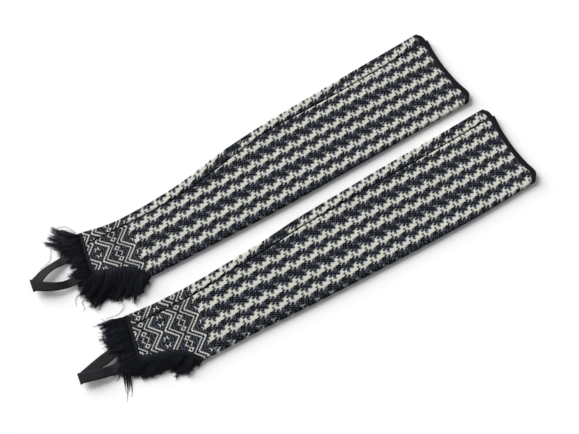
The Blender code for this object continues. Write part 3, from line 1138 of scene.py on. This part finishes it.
# %% Bindings
BINDING_TURN = 1.4
BINDING_FLARE = 2.5
FLARE_RUN = 14.0
RIB_WIDTH = 1.5
RIB_HEIGHT = 0.16
BINDING_STITCH_LINE = -7.2
STITCH_DENT = (0.28, 0.7)
BINDING_RUN = (-BINDING_WIDTH, -BINDING_WIDTH + 0.7, -6.2, -4.4, -2.8)
BINDING_LIFT = 0.1
TURN_STEPS = 8
BINDING_FRONT_STEPS = 250
BINDING_BACK_STEPS = 290
BINDING_FOLD_STEPS = 18


def binding_profile(depth_in):
    """From one edge round the turn to the other, as offset from the hem and depth."""
    sides = BINDING_WALL + KNIT_WALL + SEAM_GAP
    half = sides / 2.0 - depth_in
    profile = [(offset, depth_in) for offset in BINDING_RUN]
    for step in range(TURN_STEPS + 1):
        angle = math.pi * step / TURN_STEPS
        offset = (BINDING_TURN - depth_in) * math.sin(angle) - BINDING_TURN
        profile.append((offset, depth_in + half * (1.0 - math.cos(angle))))
    profile += [(offset, sides - depth_in) for offset in reversed(BINDING_RUN)]
    return np.array(profile)


def top_binding(leg):
    around, part = round_stops(BINDING_FRONT_STEPS, BINDING_BACK_STEPS, BINDING_FOLD_STEPS)
    seam = np.array([[float(seam_fraction(leg, LEG_LENGTH))]])
    gap = SEAM_GAP / 2.0 / flat_width(leg, LEG_LENGTH)
    fraction, bulge, level = unroll(around[None, :], part[None, :], seam, gap)
    radius = body_radius(LEG_LENGTH)
    across = across_at(leg, LEG_LENGTH, fraction[0]) + bulge[0] * radius
    walked = walked_along(step_lengths(np.stack((across, level[0] * radius), axis=-1)))
    ribs = np.cos(2.0 * math.pi * walked / RIB_WIDTH)[None, :] * RIB_HEIGHT / 2.0
    flare = BINDING_FLARE * np.exp(-((walked / FLARE_RUN) ** 2))[None, :] * (level > 0.5)

    def grid(depth_in, rib_share):
        profile = binding_profile(depth_in)
        offset = profile[:, 0][:, None]
        depth = profile[:, 1][:, None] - ribs * rib_share - BINDING_LIFT
        from_line = (offset - BINDING_STITCH_LINE) / STITCH_DENT[1]
        dent = STITCH_DENT[0] * np.exp(-(from_line ** 2)) * rib_share
        along = LEG_LENGTH + offset + hem_shift(fraction, bulge)
        along = along + flare * (1.0 + offset / BINDING_WIDTH)
        middle = across_at(leg, along, fraction)
        return surface(along, middle, body_radius(along), bulge, level, depth + dent)

    return wall(leg, "rib_binding", grid(0.0, 1.0), grid(BINDING_WALL, 0.0), rib_look)


rib_look = two_tone_cloth(
    "black_rib",
    finish=(0.85, 0.06, 0.5, (0.80, 0.86, 1, 1), 0.15),
    tones=((8, 9, 12), (17, 19, 24)),
    clouds=(500.0, 3.0),
    grain=(2200.0, 3.0, 0.7),
    bump=(0.0003, 0.6),
)
bindings = {leg["name"]: top_binding(leg) for leg in LEGS}

# %% [markdown]
# ## The header tape of the fringe
# The fringe hangs from a smooth tape that is sewn edge to edge with the knit. The way out of the
# leg changes along the shaped ankle edge, so the tape steps out from it at a right angle.

# %% Header tapes
BAND_ROWS = 6
TAPE_CROWN = 0.35
TAPE_WALL = TRIM_WALL - 0.4
EDGE_STEP = 0.02


def edge_point(leg, fraction):
    """The middle line of the ankle edge, seen from above."""
    along = ankle_at(leg, fraction)
    return np.stack((along, across_at(leg, along, fraction)), axis=-1)


def edge_outward(leg, fraction):
    """The direction out of the leg, square to the ankle edge, seen from above."""
    before = edge_point(leg, np.maximum(fraction - EDGE_STEP, 0.0))
    after = edge_point(leg, np.minimum(fraction + EDGE_STEP, 1.0))
    run = after - before
    run = run / np.linalg.norm(run, axis=-1, keepdims=True)
    return np.stack((run[..., 1], -run[..., 0]), axis=-1)


def ankle_stops(leg):
    """Stops round the ankle edge, with the seam where it reaches that edge."""
    edge = float(ankle_at(leg, 0.0))
    seam = np.array([[float(seam_fraction(leg, edge))]])
    gap = SEAM_GAP / 2.0 / flat_width(leg, edge)
    return unroll(zones[None, :], shares[None, :], seam, gap)


def edge_grid(leg, plans, depths):
    """A grid round the ankle opening, with one row for each line of places and its depth."""
    _, bulge, level = ankle_stops(leg)
    rows = [
        surface(plan[:, 0], plan[:, 1], BODY_HEIGHT / 2.0, bulge[0], level[0], depth)
        for plan, depth in zip(plans, depths)
    ]
    return np.array(rows)[::-1]


def ankle_band(leg):
    fraction = ankle_stops(leg)[0][0]
    edge, outward = edge_point(leg, fraction), edge_outward(leg, fraction)
    steps = np.linspace(0.0, 1.0, BAND_ROWS)
    plans = [edge + outward * (SEAM_GAP + (BAND_WIDTH - SEAM_GAP) * step) for step in steps]
    sunk = TAPE_CROWN * (1.0 - np.sin(math.pi * steps))
    grids = [edge_grid(leg, plans, depth + sunk) for depth in (0.0, TAPE_WALL)]
    return wall(leg, "header_tape", *grids, tape_look)


tape_look = two_tone_cloth(
    "woven_tape",
    finish=(0.8, 0.08, 0.45, (0.75, 0.82, 1, 1), 0.2),
    tones=((6, 8, 12), (15, 18, 26)),
    clouds=(260.0, 3.0),
    grain=(1800.0, 2.0, 0.6),
    bump=(0.0003, 0.5),
)
bands = {leg["name"]: ankle_band(leg) for leg in LEGS}

# %% [markdown]
# ## The wool fringe
# The fringe is a dense row of soft black yarns that gather in small pointed tufts. It is made of
# thousands of thin three-sided tubes, because hair particles can't be carried over to other
# programs and a bumpy solid has no loose ends. Under them lies a plain dark core, so that no light
# comes through near the tape.

# %% Yarns as tapered tubes
YARN_SIDES = 3
YARN_STEPS = 7


def yarn_parts(paths, radii):
    """Points, side faces and end faces of many tapered tubes. paths is (yarns, steps, 3)."""
    count, steps = paths.shape[:2]
    run = np.gradient(paths, axis=1)
    run /= np.linalg.norm(run, axis=-1, keepdims=True) + 1e-9
    side = np.cross(run, np.array([0.0, 0.0, 1.0]))
    side /= np.linalg.norm(side, axis=-1, keepdims=True) + 1e-9
    up = np.cross(side, run)
    rings = []
    for corner in range(YARN_SIDES):
        angle = 2.0 * math.pi * corner / YARN_SIDES + math.pi / 2.0
        offset = side * math.cos(angle) + up * math.sin(angle)
        rings.append(paths + offset * radii[..., None])
    points = np.stack(rings, axis=2).reshape(-1, 3)
    numbers = np.arange(count * steps * YARN_SIDES).reshape(count, steps, YARN_SIDES)
    after = np.roll(numbers, -1, axis=2)
    quads = np.stack((numbers[:, :-1], after[:, :-1], after[:, 1:], numbers[:, 1:]), axis=-1)
    caps = np.concatenate((numbers[:, 0, ::-1], numbers[:, -1]))
    return points, quads.reshape(-1, 4), caps


print("a yarn has", YARN_SIDES * 2 * (YARN_STEPS - 1) + 2, "triangles")

# %% [markdown]
# ## Where the yarns run
# Each yarn sets out square to the tape and bends to its tuft's tip. It rises a little and falls to
# the floor, and it wobbles, because wool is crimped.

# %% Curves of the yarns
OUTLINE_STEPS = 400
TIP_SHARE = 0.6
YARN_RADIUS = 0.47
TIP_RADIUS = 0.20
ROOT_REACH = BAND_WIDTH - 1.2
YARN_BEND = (0.30, 0.52)
CRIMP_WAVES = (6.0, 11.0)
CRIMP_WIDTHS = (0.5, 2.4)


def fringe_outline(leg):
    """Root, outward direction and tip for close steps round the ankle edge, and the way walked."""
    fraction = np.linspace(0.0, 1.0, OUTLINE_STEPS)
    outward = edge_outward(leg, fraction)
    root = edge_point(leg, fraction) + outward * ROOT_REACH
    tip = track(leg["tips"], (1, 2), fraction)
    walked = walked_along(step_lengths(root) + TIP_SHARE * step_lengths(tip))
    return root, outward, tip, walked / walked[-1]


def pick(walked, values, at):
    """The places or directions at some of the way round the outline."""
    return np.stack([np.interp(at, walked, values[:, k]) for k in range(2)], axis=-1)


def curves(root, outward, tip, heights, rng):
    """Smooth wobbling curves from roots to tips. heights is (start, hump, end)."""
    count = len(root)
    reach = np.linalg.norm(tip - root, axis=-1)[:, None]
    t = np.linspace(0.0, 1.0, YARN_STEPS)[None, :, None]
    middle = root + outward * reach * rng.uniform(*YARN_BEND, (count, 1))
    flat = (1 - t) ** 2 * root[:, None] + 2 * t * (1 - t) * middle[:, None] + t ** 2 * tip[:, None]
    run = (tip - root) / (reach + 1e-9)
    sideways = np.stack((-run[:, 1], run[:, 0]), axis=-1)
    phase = rng.uniform(0.0, 2.0 * math.pi, (count, 1, 1))
    crimp = np.sin(t * rng.uniform(*CRIMP_WAVES, (count, 1, 1)) + phase)
    flat = flat + sideways[:, None] * crimp * t * rng.uniform(*CRIMP_WIDTHS, (count, 1, 1))
    start, hump, end = heights
    t = t[..., 0]
    z = start[:, None] * (1 - t) + end[:, None] * t + hump[:, None] * 4.0 * t * (1 - t)
    z = z + 0.25 * np.cos(t * 11.0 + phase[..., 0])
    return np.concatenate((flat, np.maximum(z, YARN_RADIUS * 0.6)[..., None]), axis=-1)


print("each yarn is a curve through", YARN_STEPS, "points")

# %% [markdown]
# ## Tufts, flyaways and loose threads
# Yarns from the front layer lie on top, and those from the back layer under them. Their tips
# gather in a few dozen tufts. Thin curly ends stand off the mass, and a few loose threads lie on
# the floor beside it.

# %% Tufts and threads
TUFTS = 46
YARNS_ON_TOP = 2500
YARNS_BELOW = 1150
FLYAWAYS = 1150
FLYAWAY_RADIUS = 0.24
INSTEP_FROM = 0.52
TUFT_LENGTHS = (0.80, 1.08)
TUFT_DRIFT = 3.4
TUFT_SPREAD = 0.62
SHORTENING = 0.42
TIP_SCATTER = 0.7
YARN_THICKNESS = (0.6, 1.15)
TOP_HEIGHTS = ((3.4, 6.6), (1.0, 3.2))
LOW_HEIGHTS = ((0.7, 3.0), (-0.3, 0.8), (0.3, 2.0))
FLYAWAY_LENGTHS = (2.5, 6.5)
FLYAWAY_SWING = 0.75
FLYAWAY_CURL = 2.4

LOOSE_THREADS = {
    "far_leg": (
        # radius, then along and across of its five points
        (0.25, (-36, 123), (-41, 113), (-48, 100), (-56, 96), (-67, 94)),
        (0.3, (2, 117), (-3, 131), (-10, 139), (-20, 141), (-26, 147)),
        (0.25, (2, 117), (-7, 130), (-14, 134), (-22, 138), (-29, 143)),
        (0.35, (14, -6), (11, -20), (3, -25), (-4, -26), (-18, -23)),
        (0.45, (-25, 24), (-32, 20), (-37, 15), (-37, 8), (-40, 3)),
        (0.4, (-28, 34), (-36, 30), (-41, 27), (-45, 20), (-46, 15)),
    ),
    "near_leg": (
        (0.3, (-14, 113), (-22, 117), (-28, 117), (-37, 118), (-47, 119)),
        (1.9, (-35, 42), (-38, 31.5), (-40.5, 25), (-42.5, 19), (-45, 11)),
        (2.1, (-31, 39.5), (-35.5, 28.5), (-38.5, 20.5), (-41, 14), (-44, 7.5)),
        (1.9, (-26.5, 37), (-31, 26.5), (-33.5, 19), (-35.5, 13), (-38, 8)),
        (1.4, (-28.5, 38), (-33, 27), (-36, 19.5), (-38.5, 14.5), (-40.5, 11)),
        (0.4, (-31, 39.5), (-36, 27), (-40.5, 16), (-44.5, 7.5), (-48.6, -1)),
        (0.4, (-27, 37), (-31.5, 24), (-34.5, 15), (-36.5, 9), (-41, 2.5)),
        (0.9, (-36.8, 43), (-41, 38.4), (-44.5, 34.6), (-47.6, 32.4), (-50.3, 31.6)),
    ),
}
THREAD_POINTS = 5
THREAD_STEPS = 17
THREAD_TIP = 0.18


def fringe_yarns(leg, on_top, rng):
    """Curves and radii of the yarns of one layer, gathered in tufts."""
    root, outward, tip, walked = fringe_outline(leg)
    count = YARNS_ON_TOP if on_top else YARNS_BELOW
    centres = (np.arange(TUFTS) + rng.uniform(0.15, 0.85, TUFTS)) / TUFTS
    tuft_length = rng.uniform(*TUFT_LENGTHS, TUFTS)
    tuft_drift = rng.normal(0.0, TUFT_DRIFT, (TUFTS, 2))
    tuft_height = rng.uniform(-1.0, 1.0, TUFTS)
    tuft = rng.integers(0, TUFTS, count)
    spread = rng.normal(0.0, TUFT_SPREAD / TUFTS, count)
    at = np.clip(centres[tuft] + spread, 0.0, 1.0)
    ways = pick(walked, outward, at)
    back = np.where(at > INSTEP_FROM, rng.uniform(0.0, 5.0, count), rng.uniform(0.0, 1.2, count))
    starts = pick(walked, root, at) - ways * back[:, None] * on_top
    gather = rng.uniform(0.0, 0.4, count) + 0.5 * (rng.random(count) < 0.15)
    aims = pick(walked, tip, at * gather + centres[tuft] * (1.0 - gather)) + tuft_drift[tuft]
    length = tuft_length[tuft] * (1.0 - SHORTENING * rng.random(count) ** 2.2)
    ends = starts + (aims - starts) * length[:, None] + rng.normal(0.0, TIP_SCATTER, (count, 2))
    if on_top:
        start, hump = [rng.uniform(*span, count) for span in TOP_HEIGHTS]
        lift = tuft_height[tuft]
        heights = (start, hump + lift, 2.6 + 1.9 * lift + rng.uniform(-0.6, 0.9, count))
    else:
        heights = [rng.uniform(*span, count) for span in LOW_HEIGHTS]
    paths = curves(starts, ways, ends, heights, rng)
    taper = np.linspace(1.0, 0.0, YARN_STEPS)[None, :] ** 0.8
    thick = YARN_RADIUS * rng.uniform(*YARN_THICKNESS, (count, 1))
    return paths, TIP_RADIUS + (thick - TIP_RADIUS) * taper


def flyaways(paths, rng):
    """Thin curly ends that stand off the mass, each from a point on another yarn."""
    owner = rng.integers(0, len(paths), FLYAWAYS)
    step = rng.integers(2, YARN_STEPS, FLYAWAYS)
    start = paths[owner, step]
    way = start[:, :2] - paths[owner, 0, :2]
    angle = np.arctan2(way[:, 1], way[:, 0]) + rng.normal(0.0, FLYAWAY_SWING, FLYAWAYS)
    length = rng.uniform(*FLYAWAY_LENGTHS, FLYAWAYS)
    t = np.linspace(0.0, 1.0, YARN_STEPS)[None, :]
    turn = angle[:, None] + rng.normal(0.0, FLYAWAY_CURL, (FLYAWAYS, 1)) * t
    step_length = (length / (YARN_STEPS - 1))[:, None]
    across = np.cumsum(np.sin(turn) * step_length, axis=1)
    along = np.cumsum(np.cos(turn) * step_length, axis=1)
    height = start[:, 2:] + rng.uniform(-2.0, 1.6, (FLYAWAYS, 1)) * t
    height = np.clip(height, 0.2, 6.6)
    curled = np.stack((start[:, :1] + along, start[:, 1:2] + across, height), axis=-1)
    return curled, FLYAWAY_RADIUS * np.linspace(1.0, 0.75, YARN_STEPS) * np.ones((FLYAWAYS, 1))


def loose_threads(leg):
    """The few threads and strands that lie on the floor beside the fringe."""
    at = np.linspace(0.0, THREAD_POINTS - 1.0, THREAD_STEPS)
    paths, radii = [], []
    for thick, *points in LOOSE_THREADS[leg["name"]]:
        table = [(k, *point) for k, point in enumerate(points)]
        radius = thick + (min(thick, THREAD_TIP) - thick) * ease(at / (THREAD_POINTS - 1.0))
        height = 3.6 * (1.0 - ease(at / 1.6)) + radius + 0.1
        paths.append(np.column_stack((track(table, (1, 2), at), height)))
        radii.append(radius)
    return np.array(paths), np.array(radii)


print("yarns of a fringe:", YARNS_ON_TOP + YARNS_BELOW + FLYAWAYS, "in", TUFTS, "tufts")

# %% [markdown]
# ## One mesh for each fringe
# The core and all the yarns of a leg become one mesh. Every yarn keeps its own shade, as a number
# on its points. The random numbers are seeded, so the fringe is the same each time.

# %% Fringes
FRINGE_SEEDS = {"far_leg": 11, "near_leg": 23}
CORE_REACH = 0.62
CORE_DEPTHS = (1.0, 1.8)
CORE_SINK = 0.9
CORE_ROWS = 5


def fringe_core(leg):
    """The two grids of the dark core inside the yarns."""
    fraction = ankle_stops(leg)[0][0]
    root = edge_point(leg, fraction) + edge_outward(leg, fraction) * BAND_WIDTH
    tip = track(leg["tips"], (1, 2), fraction)
    steps = np.linspace(0.0, 1.0, CORE_ROWS)
    plans = [root + (tip - root) * step * CORE_REACH for step in steps]
    return [edge_grid(leg, plans, depth + CORE_SINK * steps) for depth in CORE_DEPTHS]


def wool_fringe(leg):
    rng = np.random.default_rng(FRINGE_SEEDS[leg["name"]])
    groups = [fringe_yarns(leg, False, rng), fringe_yarns(leg, True, rng)]
    groups.append(flyaways(np.concatenate([group[0] for group in groups]), rng))
    groups.append(loose_threads(leg))
    core_points, core_quads, _ = wall_parts(*fringe_core(leg))
    points, faces, shades = [core_points], core_quads.tolist(), [np.zeros(len(core_points))]
    for paths, radii in groups:
        first = sum(len(part) for part in points)
        yarn_points, quads, caps = yarn_parts(paths, radii)
        faces += (quads + first).tolist() + (caps + first).tolist()
        points.append(yarn_points)
        shades.append(np.repeat(rng.random(len(paths)) ** 1.5, paths.shape[1] * YARN_SIDES))
    made = mesh_object(leg, "wool_fringe", np.concatenate(points), faces, wool_look)
    give_values(made, "yarn_shade", shades)
    yarn_count = sum(len(group[0]) for group in groups)
    triangles = sum(len(face) - 2 for face in faces)
    print(made.name, "has", yarn_count, "yarns and", triangles, "triangles")
    return made


wool_look = two_tone_cloth(
    "black_wool",
    finish=(0.75, 0.10, 0.4, (0.62, 0.72, 1, 1), 0.2),
    tones=((5, 6, 10), (23, 28, 42)),
    clouds="yarn_shade",
    grain=(2600.0, 2.0, 0.6),
    bump=(0.0002, 0.5),
)
fringes = {leg["name"]: wool_fringe(leg) for leg in LEGS}

# %% [markdown]
# ## The stirrup straps
# The strap is a flat woven elastic. It comes out of the opening under the fringe, turns over in one
# sharp crease and goes back over itself, as a loop for the foot. It is a ribbon between two edge
# lines, and the fine ribs across it are real ridges.

# %% Straps
STRAP_THICKNESS = 1.2
CREASE_ROW = 5
CREASE_STEPS = 12
STRAP_COLUMNS = 9
STRAP_RIB = 1.15
STRAP_RIB_HEIGHT = 0.14
RUNG_LENGTH = 0.33
STRAP_EDGE_THINNING = 0.35
UP = np.array([0.0, 0.0, 1.0])


def limb(rows):
    """Close rungs along one limb of a strap, as two lines of edge points."""
    walked = walked_along([math.dist(a[:3], b[:3]) for a, b in zip(rows, rows[1:])])
    table = [(w, *row) for w, row in zip(walked, rows)]
    at = np.linspace(0.0, walked[-1], int(walked[-1] / RUNG_LENGTH))
    return track(table, (1, 2, 3), at), track(table, (4, 5, 6), at)


def stirrup_strap(leg):
    rows = leg["strap"]
    below, above = limb(rows[:CREASE_ROW]), limb(rows[CREASE_ROW:])
    turn_radius = (rows[CREASE_ROW][2] - rows[CREASE_ROW - 1][2]) / 2.0
    turn = math.pi * np.arange(1, CREASE_STEPS) / CREASE_STEPS
    turn_ways = np.stack((-np.sin(turn), 0.0 * turn, -np.cos(turn)), axis=-1)
    lift = (turn_ways + UP) * turn_radius
    first, second = [np.concatenate((b, b[-1:] + lift, a)) for b, a in zip(below, above)]
    way = np.concatenate((0.0 * below[0] - UP, turn_ways, 0.0 * above[0] + UP))
    walked = walked_along(step_lengths((first + second) / 2.0))
    rib = STRAP_RIB_HEIGHT / 2.0 * np.cos(2.0 * math.pi * walked / STRAP_RIB)
    share = np.linspace(0.0, 1.0, STRAP_COLUMNS)[None, :, None]
    plan = first[:, None] * (1 - share) + second[:, None] * share
    edge = 1.0 - STRAP_EDGE_THINNING * np.abs(2.0 * share[..., 0] - 1.0) ** 6
    half = (STRAP_THICKNESS / 2.0 - STRAP_RIB_HEIGHT / 2.0 + rib[:, None]) * edge
    offset = way[:, None] * half[..., None]
    print(leg["name"], "strap is", round(float(walked[-1]), 1), "mm long")
    leg["strap_length"] = float(walked[-1])
    return wall(leg, "elastic_strap", plan + offset, plan - offset, strap_look)


strap_look = two_tone_cloth(
    "woven_elastic",
    finish=(0.7, 0.06, 0.4, (0.85, 0.9, 1, 1), 0.22),
    tones=((13, 14, 18), (23, 25, 30)),
    clouds=(420.0, 2.0),
    grain=(3000.0, 2.0, 0.5),
    bump=(0.0002, 0.4),
)
straps = {leg["name"]: stirrup_strap(leg) for leg in LEGS}

# %% [markdown]
# ## What each piece is and stands for
# Each piece rides on the pair's one body and stands in for its imported solid, which is hidden.


PIECES = (
    # the pieces, the node each stands for, the slot
    (knits, "knit_tube", "knit"),
    (bindings, "top_binding", "binding"),
    (bands, "ankle_band", "band"),
    (fringes, "fringe", "fringe"),
    (straps, "stirrup_strap", "strap"),
)
for leg in LEGS:
    name = leg["name"]
    for pieces, node, slot in PIECES:
        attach(pieces[name], "root")
        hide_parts(name + "_" + node)
